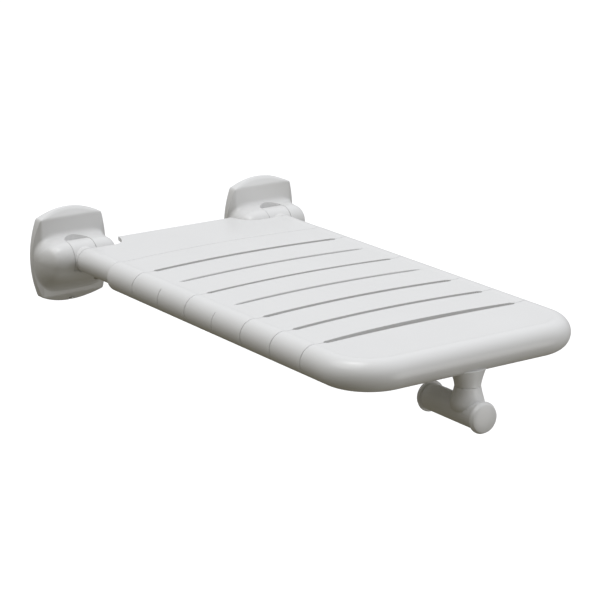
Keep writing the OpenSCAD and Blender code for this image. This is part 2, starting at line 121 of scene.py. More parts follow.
def cutWith(obj, cutters, operation="DIFFERENCE", sharpAngle=40):
    # takes closed cutter meshes away from a closed mesh, or joins them to it
    for cutter in cutters:
        tool = obj.modifiers.new("cut", "BOOLEAN")
        tool.operation = operation
        tool.solver = "EXACT"
        tool.object = cutter
    applyModifiers(obj)
    for cutter in cutters:
        bpy.data.objects.remove(cutter)
    cleanMesh(obj, sharpAngle)


def revolve(name, profile, axis, origin, steps=64, sharpAngle=40):
    # a profile of (radius, height) rows turned once about an axis: x, y or z through the origin point
    profile = np.asarray(profile, float)
    turn = np.linspace(0, 2 * np.pi, steps, endpoint=False)[:, None]
    r, h = profile[None, :, 0], profile[None, :, 1]
    a, b, c = r * np.cos(turn), r * np.sin(turn), h + 0 * turn
    order = {"x": (c, a, b), "y": (a, c, b), "z": (a, b, c)}[axis]
    verts = np.stack(order, axis=-1).reshape(-1, 3) + np.asarray(origin, float)
    faces = gridFaces(steps, len(profile), closeRows=True)
    return addMesh(name, verts, faces, sharpAngle)


def smoothStep(t):
    # 0 below 0, 1 above 1 and 3t^2 - 2t^3 in between
    t = np.clip(t, 0, 1)
    return t * t * (3 - 2 * t)


def smoothMax(a, b, k):
    # the larger of two values, rounded over a width k where they cross
    h = np.clip(0.5 + 0.5 * (a - b) / k, 0, 1)
    return b + (a - b) * h + k * h * (1 - h)


seat = {
    "armX": 133.2,
    "sleeveR": 16.6,
    "armR": 14.3,
    "armZ": 2.3,
    "slatTop": 16.1,
    "slatLow": 11.3,
    "ribLow": 5.1,
    "ribT": 3.0,
    "firstJoint": 121.9,
    "pitch": 53.0,
    "slotHalf": 122.0,
    "sag": 8.6,
    "lastSag": 4.7,
    "seamGap": 0.8,
    "slotWidths": [0.8, 6.8, 5.4, 5.4, 5.4, 6.6, 6.6, 6.6],
    "slotEdge": 0.7,
    "seamEdge": 0.6,
    "slotTaper": 5.0,
    "halfSeamFrom": -170,
    "halfSeamTop": 48,
    "halfSeamEase": 16,
    "halfSeamDepth": 2.4,
    "noseY": 568.0,
    "cornerR": 40.0,
}
s = seat
moduleJoints = {
    "slat_module_1": [0, 1],
    "double_module_2": [1, 2, 3],
    "double_module_3": [3, 4, 5],
    "slat_module_4": [5, 6],
    "slat_module_5": [6, 7],
}


def slotY(k):
    # distance from the wall to joint line k: the first one plus k pitches
    return s["firstJoint"] + k * s["pitch"]


def arcY(x, sag):
    # parabola across the seat: sag in the middle, nothing at the slot's ends and beyond
    return sag * np.clip(1 - (x / s["slotHalf"]) ** 2, 0, 1)


def slotOpen(x):
    # 1 along a slot, easing to 0 at its tapered ends
    return smoothStep((s["slotHalf"] - np.abs(x)) / s["slotTaper"])


def seatColumns(ringR):
    # x of the columns across the seat, close together round both sleeves
    turn = np.radians(np.linspace(0, 180, 49))
    ring = s["armX"] - ringR * np.cos(turn)
    mid = s["armX"] - ringR - 0.7
    flat = np.concatenate([np.linspace(0, mid - 6, 26), [mid - 3, mid - 1, mid]])
    half = np.concatenate([flat, ring])
    return np.concatenate([-half[:0:-1], half])


def sleeveOutline(x, ringR, ringZ, under):
    # top and bottom of the section and their outward normals: a plate between two round sleeves
    side = np.abs(x) - s["armX"]
    inRing = np.abs(x) >= s["armX"] - ringR - 1e-6
    rise = np.sqrt(np.clip(ringR ** 2 - side ** 2, 0, None))
    outer = side >= 0
    top = np.where(outer, ringZ + rise, smoothMax(np.full_like(x, s["slatTop"]), ringZ + rise, 0.35))
    top = np.where(inRing, top, s["slatTop"])
    nx = np.where(outer, side / ringR, 0) * np.sign(x)
    topN = np.stack([nx, np.sqrt(np.clip(1 - nx ** 2, 0, 1))], -1)
    bottom = np.where(inRing, ringZ - rise, under)
    bx = np.where(inRing, side / ringR * np.sign(x), 0)
    lowN = np.stack([bx, -np.sqrt(np.clip(1 - bx ** 2, 0, 1))], -1)
    return top, topN, bottom, lowN


def moduleSurface(name, x, ringR, ringZ, rearEdge, frontEdge, rearRound, frontRound, inner=(), rearRib=True):
    # outline of plate and sleeves carried from the rear edge to the front edge of one module,
    # inset along its normals where the edges are rounded; the underside steps up between ribs
    turns = np.radians([0, 20, 40, 62, 90])
    lines = []
    for edge, way, edgeRound in ((rearEdge, -1, rearRound), (frontEdge, 1, frontRound)):
        rows = []
        for a in turns:
            under = s["ribLow"] if rearRib or way > 0 else s["slatLow"]
            rows.append((edge, way, edgeRound * (1 - math.cos(a)), edgeRound * (1 - math.sin(a)), under))
        for depth, under in ((s["ribT"] - 0.25, under), (s["ribT"] + 0.25, s["slatLow"])):
            rows.append((edge, way, np.maximum(depth, edgeRound + 0.1), 0 * x, under))
        lines += rows if way < 0 else rows[::-1]
        if way < 0:
            slat, rib = s["slatLow"], s["ribLow"]
            for y, w in inner:
                for d, under in ((w + 0.25, slat), (w - 0.25, rib), (0.25 - w, rib), (-0.25 - w, slat)):
                    lines.append((y, 1, d + 0 * x, 0 * x, under))
    loops = []
    for edge, way, along, inset, under in lines:
        top, topN, low, lowN = sleeveOutline(x, ringR, ringZ, under)
        y = edge(x) + way * along
        yLow = edge(x, True) + way * along
        upper = np.stack([x - inset * topN[:, 0], y, top - inset * topN[:, 1]], -1)
        lower = np.stack([x - inset * lowN[:, 0], yLow, low - inset * lowN[:, 1]], -1)
        loops.append(np.concatenate([upper, lower[::-1]]))
    n, m = len(loops), len(loops[0])
    faces = gridFaces(n, m, closeCols=True)
    half = len(x)
    i = np.arange(half - 1)
    cap = np.stack([i, i + 1, m - 2 - i, m - 1 - i], -1)
    faces += cap.tolist() + (cap[:, ::-1] + (n - 1) * m).tolist()
    return addMesh(name, np.concatenate(loops), faces, 38)


def jointEdge(k, side, sag):
    # y of a module's edge at joint k: straight over the sleeves, arched along the slot
    def edge(x, low=False):
        # the joint line moved by half the slot's width here; below, a sleeve keeps its narrow seam
        wide = slotOpen(x) * (s["slotWidths"][k] - s["seamGap"]) + s["seamGap"]
        if low:
            inRing = np.abs(x) > s["armX"] - s["sleeveR"] - 0.1
            wide = np.where(inRing, s["seamGap"], wide)
        return -slotY(k) + arcY(x, sag) + side * wide / 2
    return edge


def edgeRadius(k, x):
    # generous edge along a slot, small edge at the seams of the sleeves
    if k == 0:
        return np.full_like(x, s["seamEdge"])
    return s["seamEdge"] + (s["slotEdge"] - s["seamEdge"]) * slotOpen(x)


def slotCutter(k):
    # a slot inside a double module: its arched plan carried upwards, flared at the top edge
    turn = np.linspace(0, 1, 41)
    x = -s["slotHalf"] + 2 * s["slotHalf"] * turn
    heights = np.array([-30, 14.6, 15.2, 15.7, 16.05, 18.0])
    flare = np.array([0, 0, 0.06, 0.22, 0.6, 2.5])
    half = s["slotWidths"][k] / 2 * np.sqrt(np.clip(1 - np.abs(x / s["slotHalf"]) ** 14, 0.0004, 1))
    mid = -slotY(k) + arcY(x, s["sag"])
    loops = []
    for z, f in zip(heights, flare):
        grow = 1 + f / s["slotHalf"]
        rear = np.stack([x * grow, mid + half + f, np.full_like(x, z)], -1)
        front = np.stack([x * grow, mid - half - f, np.full_like(x, z)], -1)
        loops.append(np.concatenate([rear, front[::-1]]))
    n, m = len(loops), len(loops[0])
    faces = gridFaces(n, m, closeCols=True)
    i = np.arange(len(x) - 1)
    cap = np.stack([i, i + 1, m - 2 - i, m - 1 - i], -1)
    faces += cap.tolist() + (cap[:, ::-1] + (n - 1) * m).tolist()
    return addMesh("slotCutter", np.concatenate(loops), faces)


def halfSeam(k, side):
    # a thin groove round the outer and lower side of a sleeve, its depth easing to nothing at its upper end
    angles = np.linspace(s["halfSeamFrom"], s["halfSeamTop"], 44)
    turn = np.radians(angles if side > 0 else 180 - angles)
    rise = smoothStep((s["halfSeamTop"] + 2 - angles) / s["halfSeamEase"])
    floorR = s["sleeveR"] - s["halfSeamDepth"] * rise
    width = s["seamGap"] / 2
    rows = []
    for r, dy in ((floorR, -width), (s["sleeveR"] + 1, -width), (s["sleeveR"] + 1, width), (floorR, width)):
        y = np.full_like(turn, -slotY(k) + dy)
        rows.append(np.stack([side * s["armX"] + r * np.cos(turn), y, r * np.sin(turn)], -1))
    verts = np.stack(rows, 1)
    n = len(turn)
    faces = gridFaces(n, 4, closeCols=True) + [[0, 1, 2, 3], [4 * n - 1, 4 * n - 2, 4 * n - 3, 4 * n - 4]]
    return addMesh("halfSeam", verts.reshape(-1, 3), faces)


def pocketCutter(x, y):
    # round seat for a screw head in the underside of a sleeve
    seatLine = [(0, -22), (4.6, -22), (4.6, -16.4), (4.1, -16.0), (4.1, -13.2), (0, -13.2)]
    return revolve("pocket", seatLine, "z", (x, y, 0), 32)


def screwY(k, n):
    # a module's screws stand halfway between its outer joints
    return -(slotY(k) + slotY(n)) / 2


def dress(obj, body, *replaced, slot="nylon"):
    # hangs a finished skin on its body, in place of the plain solids that it covers
    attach(obj, body)
    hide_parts(*replaced)


nylonPieces = []
for name, joints in moduleJoints.items():
    k, n = joints[0], joints[-1]
    inner = [(jointEdge(j, 0, s["sag"]), s["slotWidths"][j] / 2 + s["ribT"]) for j in joints[1:-1]]
    x = seatColumns(s["sleeveR"])
    edges = jointEdge(k, -1, s["sag"]), jointEdge(n, 1, s["sag"])
    rounds = edgeRadius(k, x), edgeRadius(n, x)
    module = moduleSurface(name + "_skin", x, s["sleeveR"], 0.0, *edges, *rounds, inner)
    cutters = [pocketCutter(side * s["armX"], screwY(k, n)) for side in (-1, 1)]
    for j in joints[1:-1]:
        cutters += [slotCutter(j)] + [halfSeam(j, side) for side in (-1, 1)]
    cutWith(module, cutters, sharpAngle=38)
    dress(module, "seat", name)
    nylonPieces.append(module)
print("slat modules made")

rear = {
    "notch": [(0, -24), (76.2, -24), (77.5, -24.6), (78, -26.6), (78.6, -30), (80, -35), (82, -40),
              (84.3, -44.3), (87, -48), (90, -50.4), (94, -52), (98, -52.8), (102, -53), (118.4, -53),
              (118.9, -52.7), (150, -52.7)],
    "notchColumns": [77, 77.5, 77.8, 78, 78.3, 78.6, 79.3, 80, 81, 82, 83, 84.3, 85.6, 87, 88.5, 90, 92, 94,
                     96, 98, 102],
    "notchRound": 0.3,
    "edgeRound": 1.0,
}


def rearEdge(x, low=False):
    # straight behind, then curving forwards round each hinge housing to the arm sleeves
    points = np.array(rear["notch"], float)
    return np.interp(np.abs(x), points[:, 0], points[:, 1])


def makeRearModule():
    # the seat's section between the notched rear edge and joint 0, with columns added round the notch
    plain = seatColumns(s["armR"])
    extra = np.array(rear["notchColumns"])
    x = np.unique(np.round(np.concatenate([plain, extra, -extra]), 4))
    rearRound = np.where(np.abs(x) > 75, rear["notchRound"], rear["edgeRound"])
    rearRound = np.where(np.abs(x) > s["armX"] - s["armR"] - 0.5, s["seamEdge"], rearRound)
    frontEdge = jointEdge(0, 1, s["sag"])
    module = moduleSurface("rear_module_skin", x, s["armR"], s["armZ"], rearEdge, frontEdge, rearRound,
                           edgeRadius(0, x), rearRib=False)
    dress(module, "seat", "rear_module")
    return module


nylonPieces.append(makeRearModule())
print("rear module made")

front = {"stations": 28, "ringSteps": 72, "flatEnd": 129.5}


def nosePath():
    # centre line of the front sleeve: left side, corner, nose, corner and right side, with its tangents
    turn = np.radians(np.linspace(0, 90, front["stations"]))
    cx, cy = s["armX"] - s["cornerR"], -s["noseY"] + s["cornerR"]
    startY = -slotY(7) - s["seamGap"] / 2
    left = np.stack([-cx - s["cornerR"] * np.cos(turn), cy - s["cornerR"] * np.sin(turn)], -1)
    leftT = np.stack([np.sin(turn), -np.cos(turn)], -1)
    leadY = startY - np.array([0, 0.06, 0.2, 0.45, 3.0, 6.0, 12.0, 20.0])
    lead = np.stack([np.full_like(leadY, -s["armX"]), leadY], -1)
    leadT = np.tile([0.0, -1.0], (len(leadY), 1))
    mid = np.stack([np.linspace(-cx, 0, 14)[1:], np.full(13, -s["noseY"])], -1)
    midT = np.tile([1.0, 0.0], (13, 1))
    half = np.concatenate([lead, left, mid])
    halfT = np.concatenate([leadT, leftT, midT])
    other = half[-2::-1] * [-1, 1]
    otherT = halfT[-2::-1] * [1, -1]
    return np.concatenate([half, other]), np.concatenate([halfT, otherT])


def noseTube():
    # a circle carried along the front path, its first and last rings drawn in to a small round edge
    path, tangent = nosePath()
    n, m = len(path), front["ringSteps"]
    inset = np.zeros(n)
    inset[:4] = s["seamEdge"] * (1 - np.sin(np.radians([0, 30, 58, 90])))
    inset[-4:] = inset[3::-1]
    radius = (s["sleeveR"] - inset)[:, None]
    turn = np.linspace(0, 2 * np.pi, m, endpoint=False)[None, :]
    out = np.stack([-tangent[:, 1], tangent[:, 0]], -1) * -1
    flatX = path[:, 0][:, None] + out[:, 0][:, None] * radius * np.cos(turn)
    flatY = path[:, 1][:, None] + out[:, 1][:, None] * radius * np.cos(turn)
    z = radius * np.sin(turn)
    # the ends give way to the open slot on their inner upper side
    give = slotOpen(flatX) * (s["slotWidths"][7] - s["seamGap"]) / 2 * smoothStep((z - 2) / 6)
    ends = np.zeros((n, 1))
    ends[:5] = ends[-5:] = 1
    flatY = flatY - give * ends
    verts = np.stack([flatX, flatY, z], -1).reshape(-1, 3)
    centres = np.array([[path[0, 0], path[0, 1], 0], [path[-1, 0], path[-1, 1], 0]])
    faces = gridFaces(n, m, closeCols=True)
    i = np.arange(m)
    first = np.stack([np.full(m, n * m), (i + 1) % m, i], -1)
    last = np.stack([np.full(m, n * m + 1), (n - 1) * m + i, (n - 1) * m + (i + 1) % m], -1)
    faces += first.tolist() + last.tolist()
    return addMesh("front_module_skin", np.concatenate([verts, centres]), faces, 38)


def noseFlat():
    # the flat between slot and nose: columns across the seat from the slot's edge to the nose's centre line
    outer = np.linspace(90, front["flatEnd"], 22)
    x = np.concatenate([-outer[::-1], np.linspace(-84, 84, 33), outer])
    rearLine = jointEdge(7, -1, s["lastSag"])(x)
    corner = s["armX"] - s["cornerR"]
    beyond = np.clip(np.abs(x) - corner, 0, s["cornerR"])
    frontLine = -s["noseY"] + s["cornerR"] - np.sqrt(s["cornerR"] ** 2 - beyond ** 2)
    hollow = np.abs(x) < s["armX"] - s["sleeveR"] - 1
    low = np.where(hollow, s["slatLow"], s["ribLow"])
    edge = edgeRadius(7, x)
    loops = []
    for a in np.radians([0, 20, 40, 62, 90]):
        along, inset = edge * (1 - math.cos(a)), edge * (1 - math.sin(a))
        loops.append((rearLine - along, s["slatTop"] - inset, s["ribLow"] + inset))
    loops.append((rearLine - s["ribT"] + 0.2, s["slatTop"] + 0 * x, s["ribLow"] + 0 * x))
    loops.append((rearLine - s["ribT"] - 0.2, s["slatTop"] + 0 * x, low))
    loops.append((frontLine, s["slatTop"] + 0 * x, low))
    rows = []
    for y, top, under in loops:
        lower = np.stack([x, y, under + 0 * x], -1)
        rows.append(np.concatenate([np.stack([x, y, top + 0 * x], -1), lower[::-1]]))
    n, m = len(rows), len(rows[0])
    faces = gridFaces(n, m, closeCols=True)
    i = np.arange(len(x) - 1)
    cap = np.stack([i, i + 1, m - 2 - i, m - 1 - i], -1)
    faces += cap.tolist() + (cap[:, ::-1] + (n - 1) * m).tolist()
    return addMesh("noseFlat", np.concatenate(rows), faces, 38)


def makeFrontModule():
    # the nose's tube joined with the flat behind it, less two screw seats
    module = noseTube()
    screwAt = -(slotY(7) + s["noseY"] - s["cornerR"]) / 2
    cutWith(module, [noseFlat()], "UNION", 34)
    cutWith(module, [pocketCutter(side * s["armX"], screwAt) for side in (-1, 1)], sharpAngle=34)
    dress(module, "seat", "front_module")
    return module


nylonPieces.append(makeFrontModule())
print("front module made")

housing = {
    "centre": 131.0,
    "halfW": 39.5,
    "halfH": 45.2,
    "sideBulge": 8.5,
    "topBulge": 9.7,
    "depth": 12.0,
    "bevel": 9.0,
    "rimShare": 0.45,
    "hubHalf": 47.0,
    "wall": 2.6,
    "slotR": 15.2,
    "drumClear": 20.0,
    "hingeY": -30.0,
    "hingeZ": 2.3,
    "screwY": -6.7,
}
h = housing


def roundedLine(points, rounds=3):
    # corner cutting: every pass puts two points on each stretch, a quarter in from its ends
    line = np.asarray(points, float)
    for _ in range(rounds):
        a, b = line[:-1], line[1:]
        cut = np.stack([0.75 * a + 0.25 * b, 0.25 * a + 0.75 * b], 1).reshape(-1, 2)
        line = np.concatenate([line[:1], cut, line[-1:]])
    return line


def plateHalfHeight(x):
    # half height of the back plate at a column: a shallow arc on top, then the bulged side
    top = h["halfH"] + h["topBulge"] * (1 - (x / h["halfW"]) ** 2)
    side = h["halfH"] * np.sqrt(np.clip(1 - (np.abs(x) - h["halfW"]) / h["sideBulge"], 0, 1))
    return np.where(np.abs(x) <= h["halfW"], top, side)


def plateDepth(x, z):
    # full depth inside, falling to the rim over the bevel, with the break rounded
    inX = h["halfW"] + h["sideBulge"] - np.abs(x)
    inZ = h["halfH"] + h["topBulge"] - np.abs(z)
    share = np.minimum(inX, inZ) / h["bevel"]
    share = 1 - smoothMax(1 - share, 0 * share, 0.16)
    return h["depth"] * (h["rimShare"] + (1 - h["rimShare"]) * np.clip(share, 0, 1))


def hubLine():
    # side view of the hub: fillet off the plate, round about the hinge, long flank back to the plate
    turn = np.radians(np.arange(86, 210, 6))
    r = 19.6
    arc = np.stack([h["hingeY"] + r * np.cos(turn), h["hingeZ"] + r * np.sin(turn)], -1)
    lead = [(-12, 31.5), (-12, 28.8), (-12.9, 26.6), (-15.0, 24.5), (-18, 23.3), (-22, 22.8), (-26, 22.3)]
    tail = [(-46.6, -8.6), (-43.6, -15.2), (-38.4, -21.6), (-31.5, -26.6), (-24, -30.6), (-17.5, -33.6),
            (-13.4, -36.2), (-12, -39.5), (-12, -42)]
    return roundedLine(np.concatenate([lead, arc, tail]), 2)


def housingSkin(name, side):
    # columns across the plate; each goes from the top rim over face, hub and face to the bottom rim
    inner = h["hubHalf"] * np.sin(np.radians(np.linspace(-90, 90, 65)))
    wide = h["halfW"] + h["sideBulge"]
    outer = np.array([47.25, 47.6, 47.85, wide])
    x = np.concatenate([-outer[::-1], inner, outer])
    zTop = plateHalfHeight(x)
    share = np.abs(x) / h["hubHalf"]
    fall = np.where(share < 1, np.power(np.clip(1 - share ** 5, 0, 1), 0.45), 0)
    reach = np.where(share <= 1, 0.35 + 0.65 * fall, 0)
    hub = hubLine()
    rim = plateDepth(x, zTop)
    rows = [(0 * x, zTop), (-(rim - 1.3), zTop), (-(rim - 0.5), zTop * 0.994), (-(rim - 0.05), zTop * 0.98)]
    lowRows = [(y, -z) for y, z in rows][::-1]
    for t in np.linspace(0.0, 1, 26)[1:-1]:
        z = zTop * 0.98 * (1 - t) + hub[0, 1] * fall * t
        rows.append((-plateDepth(x, z), z))
    for y, z in hub:
        zHere = z * fall
        base = plateDepth(x, zHere)
        rows.append((-base + (y + h["depth"]) * reach, zHere))
    for t in np.linspace(0.0, 1, 20)[1:-1]:
        z = -zTop * 0.98 * t + hub[-1, 1] * fall * (1 - t)
        rows.append((-plateDepth(x, z), z))
    rows += lowRows
    verts = np.stack([np.stack([x + side * h["centre"], y + 0 * x, z + 0 * x], -1) for y, z in rows])
    n, m = verts.shape[:2]
    obj = addMesh(name, verts.reshape(-1, 3), gridFaces(n, m), 42)
    if sum(face.normal.y * face.area for face in obj.data.polygons) > 0:
        obj.data.flip_normals()
    wall = obj.modifiers.new("wall", "SOLIDIFY")
    wall.thickness = h["wall"] * mm
    wall.offset = -1
    wall.use_even_offset = False
    applyModifiers(obj)
    return obj


def armCutter(side):
    # the space that arm and drum sweep: columns across the slot, each a closed line in side view
    x = h["slotR"] * np.sin(np.radians(np.linspace(-90, 90, 25)))
    c = np.sqrt(np.clip(h["slotR"] ** 2 - x ** 2, 0.01, None))
    r, y0, z0 = h["drumClear"], h["hingeY"], h["hingeZ"]
    start = np.pi + np.arcsin(c / r)
    end = 2 * np.pi + np.arccos(c / r)
    lines = [(-95 + 0 * x, z0 - c)]
    for t in np.linspace(0, 1, 28):
        turn = start + (end - start) * t
        lines.append((y0 + r * np.cos(turn), z0 + r * np.sin(turn)))
    lines += [(y0 + c, 62 + 0 * x), (-95 + 0 * x, 62 + 0 * x)]
    verts = np.stack([np.stack([x + side * s["armX"], y, z], -1) for y, z in lines], 1)
    n, m = verts.shape[:2]
    faces = gridFaces(n, m, closeCols=True) + [list(range(m)), list(range((n - 1) * m, n * m))[::-1]]
    return addMesh("armCutter", verts.reshape(-1, 3), faces)


def armLining(side):
    # half a round wall behind the upright arm, its top following the hub and its foot above the hinge
    turn = np.radians(np.linspace(0, 180, 41))
    hub = hubLine()[:-40]
    rows = []
    inside, outside = h["slotR"] + 0.02, h["slotR"] + 0.9
    for r, atTop in ((inside, False), (inside, True), (outside, True), (outside, False)):
        y = h["hingeY"] + r * np.sin(turn)
        z = np.interp(-y, -hub[:, 0], hub[:, 1]) - 0.25 if atTop else 14.8 + 0 * y
        rows.append(np.stack([side * s["armX"] + r * np.cos(turn), y, z], -1))
    verts = np.stack(rows, 1)
    n = len(turn)
    faces = gridFaces(n, 4, closeCols=True) + [[0, 1, 2, 3], [4 * n - 1, 4 * n - 2, 4 * n - 3, 4 * n - 4]]
    return addMesh("armLining", verts.reshape(-1, 3), faces)


def joinInto(obj, others):
    # joins closed meshes into one object without changing their shapes
    bm = bmesh.new()
    bm.from_mesh(obj.data)
    for other in others:
        bm.from_mesh(other.data)
    bm.to_mesh(obj.data)
    bm.free()
    for other in others:
        bpy.data.objects.remove(other)


def makeHousing(name, side):
    # the shell less the space that the arm sweeps and the screw's seat, with the arm's lining inside
    obj = housingSkin(name + "_skin", side)
    seatLine = [(0, -62), (3.6, -62), (3.6, -50.9), (2.1, -50.9), (2.1, -38), (0, -38)]
    screw = revolve("screwSeat", seatLine, "z", (side * h["centre"], h["screwY"], 0), 32)
    cutWith(obj, [armCutter(side), screw], sharpAngle=42)
    joinInto(obj, [armLining(side)])
    dress(obj, "brackets", name)
    return obj


nylonPieces.append(makeHousing("housing_left", -1))
nylonPieces.append(makeHousing("housing_right", 1))
print("housings made")

grip = {
    "waist": 13.5,
    "waistZ": -30.0,
    "barZ": -57.5,
    "barR": 14.0,
    "barBack": -511.0,
    "barFront": -590.5,
    "capR": 16.4,
    "capLen": 7.5,
}
g = grip


def squeezeTop(collar):
    # draws the collar's depth in towards its top, so it stays under the nose: up to a quarter at the top
    count = len(collar.data.vertices)
    co = np.empty(count * 3)
    collar.data.vertices.foreach_get("co", co)
    co = co.reshape(-1, 3) / mm
    rise = np.clip((co[:, 2] - g["waistZ"]) / 18.0, 0, 1)
    co[:, 1] = -s["noseY"] + (co[:, 1] + s["noseY"]) * (1 - 0.27 * rise)
    collar.data.vertices.foreach_set("co", (co * mm).ravel())
    collar.data.update()


def makeGrip():
    # collar, stem and caps are turned profiles; the crossbar is a plain cylinder joined to the stem
    at = (0, -s["noseY"], 0)
    t = np.linspace(0, 1, 14)
    flare = np.stack([g["waist"] + 6.9 * t ** 1.35, g["waistZ"] + 0.7 + 17.0 * t], -1)
    foot = [(0, g["waistZ"]), (g["waist"] - 0.9, g["waistZ"]), (g["waist"] - 0.2, g["waistZ"] + 0.25)]
    crown = [(20.5, -12.6), (20.2, -11.8), (19.2, -11.6), (0, -11.6)]
    collar = revolve("grip_collar_skin", np.concatenate([foot, flare, crown]), "z", at, 96, 35)
    squeezeTop(collar)
    lower = roundedLine([(g["waist"] - 0.9, g["waistZ"]), (g["waist"] - 0.1, g["waistZ"] - 0.3), (14.0, -34),
                         (15.3, -39), (16.7, -44), (17.4, -47), (17.1, -50.2), (15.6, -54), (12, -57)], 2)
    stem = revolve("grip_bar_skin", np.concatenate([[(0, g["waistZ"])], lower, [(0, -57)]]), "z", at, 96, 35)
    barLine = [(0, g["barFront"]), (g["barR"], g["barFront"]), (g["barR"], g["barBack"]), (0, g["barBack"])]
    bar = revolve("bar", barLine, "y", (0, 0, g["barZ"]), 96, 35)
    cutWith(stem, [bar], "UNION", 35)
    a = np.radians(np.linspace(0, 90, 12))
    dome = np.stack([(g["capR"] - 1.5) * np.cos(a), g["capLen"] - 2.4 + 2.4 * np.sin(a)], -1)
    edge = [(0, 0), (g["capR"] - 0.9, 0), (g["capR"] - 0.25, 0.25), (g["capR"], 0.9), (g["capR"], 2.2),
            (g["capR"] - 0.3, 2.9)]
    profile = np.concatenate([edge[:1], roundedLine(np.concatenate([edge[1:], dome]), 1)])
    along = (0, 0, g["barZ"])
    frontCap = revolve("grip_cap_front_skin", profile * [1, -1] + [0, g["barFront"]], "y", along, 96, 35)
    rearCap = revolve("grip_cap_rear_skin", profile + [0, g["barBack"]], "y", along, 96, 35)
    made = {"grip_collar": collar, "grip_bar": stem, "grip_cap_front": frontCap, "grip_cap_rear": rearCap}
    for node, obj in made.items():
        dress(obj, "seat", node)
        nylonPieces.append(obj)


makeGrip()
print("grip made")


def nodeGroup(name, inputs, outputs):
    # an empty node group with named sockets; returns the group with its input and output nodes
    group = bpy.data.node_groups.new(name, "ShaderNodeTree")
    for label, kind, value in inputs:
        socket = group.interface.new_socket(label, in_out="INPUT", socket_type=kind)
        socket.default_value = value
    for label, kind in outputs:
        group.interface.new_socket(label, in_out="OUTPUT", socket_type=kind)
    return group, group.nodes.new("NodeGroupInput"), group.nodes.new("NodeGroupOutput")


def noise(tree, vector, scale, detail=2.0, roughness=0.5):
    # a noise value between 0 and 1 at a fixed or linked scale
    node = tree.nodes.new("ShaderNodeTexNoise")
    node.inputs["Detail"].default_value = detail
    node.inputs["Roughness"].default_value = roughness
    if isinstance(scale, (int, float)):
        node.inputs["Scale"].default_value = scale
    else:
        tree.links.new(scale, node.inputs["Scale"])
    tree.links.new(vector, node.inputs["Vector"])
    return node.outputs["Fac"]


def mapRange(tree, value, low, high, toLow, toHigh):
    # a value carried straight from one range to another and held at its ends
    node = tree.nodes.new("ShaderNodeMapRange")
    tree.links.new(value, node.inputs["Value"])
    for label, item in (("From Min", low), ("From Max", high), ("To Min", toLow), ("To Max", toHigh)):
        if isinstance(item, (int, float)):
            node.inputs[label].default_value = item
        else:
            tree.links.new(item, node.inputs[label])
    return node.outputs["Result"]


def arithmetic(tree, operation, a, b):
    # one sum or product of two numbers or sockets
    node = tree.nodes.new("ShaderNodeMath")
    node.operation = operation
    for i, item in enumerate((a, b)):
        if isinstance(item, (int, float)):
            node.inputs[i].default_value = item
        else:
            tree.links.new(item, node.inputs[i])
    return node.outputs[0]


def mouldedSurface():
    # tint that drifts a little, a mould grain in roughness and height, and fine rubbing marks
    inputs = [
        ("Vector", "NodeSocketVector", (0, 0, 0)),
        ("Color", "NodeSocketColor", (0.8, 0.8, 0.8, 1)),
        ("Drift", "NodeSocketFloat", 0.02),
        ("Grain Scale", "NodeSocketFloat", 900.0),
        ("Roughness", "NodeSocketFloat", 0.35),
        ("Rubbing", "NodeSocketFloat", 0.08),
    ]
    outputs = [("Color", "NodeSocketColor"), ("Roughness", "NodeSocketFloat"), ("Height", "NodeSocketFloat")]
    group, gin, gout = nodeGroup("mouldedSurface", inputs, outputs)
    vector = gin.outputs["Vector"]
    broad = noise(group, vector, 14.0, 3.0)
    drift = mapRange(group, broad, 0.0, 1.0, arithmetic(group, "SUBTRACT", 1.0, gin.outputs["Drift"]), 1.0)
    tint = group.nodes.new("ShaderNodeVectorMath")
    tint.operation = "SCALE"
    group.links.new(gin.outputs["Color"], tint.inputs[0])
    group.links.new(drift, tint.inputs["Scale"])
    group.links.new(tint.outputs["Vector"], gout.inputs["Color"])
    grain = noise(group, vector, gin.outputs["Grain Scale"], 2.0, 0.55)
    stretch = group.nodes.new("ShaderNodeMapping")
    stretch.inputs["Scale"].default_value = (30, 420, 90)
    stretch.inputs["Rotation"].default_value = (0, 0, 0.35)
    group.links.new(vector, stretch.inputs["Vector"])
    marks = mapRange(group, noise(group, stretch.outputs["Vector"], 1.0, 2.0, 0.5), 0.40, 0.85, 0.0, 1.0)
    rub = arithmetic(group, "MULTIPLY", marks, gin.outputs["Rubbing"])
    patches = arithmetic(group, "MULTIPLY", mapRange(group, broad, 0.0, 1.0, -0.5, 0.5), 0.10)
    rough = arithmetic(group, "ADD", arithmetic(group, "ADD", gin.outputs["Roughness"], patches), rub)
    group.links.new(rough, gout.inputs["Roughness"])
    group.links.new(grain, gout.inputs["Height"])
    return group


moulded = mouldedSurface()


def startMaterial(name):
    # a fresh material with its tree, its shader and the object coordinates
    material = bpy.data.materials.new(name)
    material.use_nodes = True
    tree = material.node_tree
    shader = tree.nodes["Principled BSDF"]
    place = tree.nodes.new("ShaderNodeTexCoord").outputs["Object"]
    return material, tree, shader, place


def bumpFrom(tree, shader, height, distance, strength):
    # leans the shader's normal by the slope of a height value
    bump = tree.nodes.new("ShaderNodeBump")
    bump.inputs["Distance"].default_value = distance
    bump.inputs["Strength"].default_value = strength
    tree.links.new(height, bump.inputs["Height"])
    tree.links.new(bump.outputs["Normal"], shader.inputs["Normal"])


